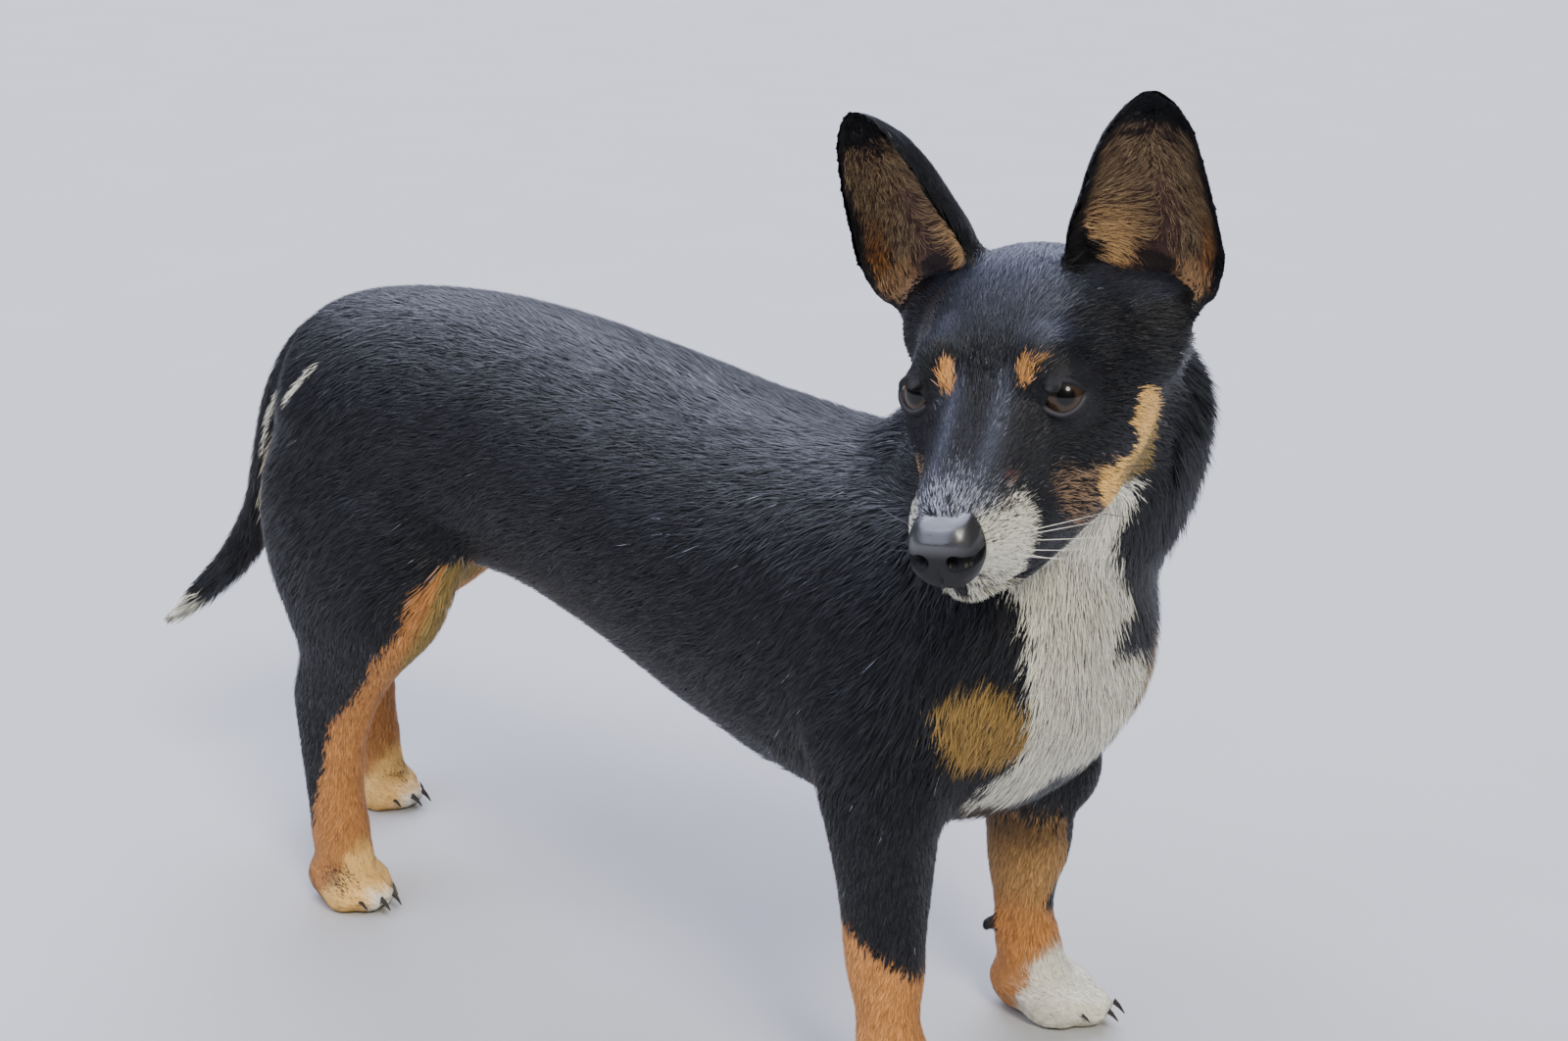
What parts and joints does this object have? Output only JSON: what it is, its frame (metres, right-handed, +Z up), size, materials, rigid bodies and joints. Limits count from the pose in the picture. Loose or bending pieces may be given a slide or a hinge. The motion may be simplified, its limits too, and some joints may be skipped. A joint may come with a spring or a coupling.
{
  "type": "dog",
  "caption": "Short-legged, smooth-coated dog with large upright ears, standing with its head turned to its right.",
  "frame": {"origin": "on the floor under the middle of the dog's outline", "axes": "+X towards the dog's chest, +Y to the dog's left, +Z up"},
  "size_m": [0.6606, 0.2436, 0.4979],
  "materials": {
    "coat": "short, flat, slightly glossy hair; black with tan and white markings in the visual",
    "nose_leather": "moist, finely pebbled",
    "eyeball": "wet and glossy, brown iris",
    "claw_horn": "smooth dark horn"
  },
  "bodies": {
    "root": {"trunk": "coat", "neck": "coat", "head": "coat", "tail": "coat", "leg_front_left": "coat", "leg_front_right": "coat", "leg_hind_left": "coat", "leg_hind_right": "coat", "ear_left": "coat", "ear_right": "coat", "eye_left": "eyeball", "eye_right": "eyeball", "nose": "nose_leather", "claw_front_left_1": "claw_horn", "claw_front_left_2": "claw_horn", "claw_front_left_3": "claw_horn", "claw_front_left_4": "claw_horn", "claw_front_right_1": "claw_horn", "claw_front_right_2": "claw_horn", "claw_front_right_3": "claw_horn", "claw_front_right_4": "claw_horn", "claw_hind_left_1": "claw_horn", "claw_hind_left_2": "claw_horn", "claw_hind_left_3": "claw_horn", "claw_hind_left_4": "claw_horn", "claw_hind_right_1": "claw_horn", "claw_hind_right_2": "claw_horn", "claw_hind_right_3": "claw_horn", "claw_hind_right_4": "claw_horn"}
  },
  "joints": []
}
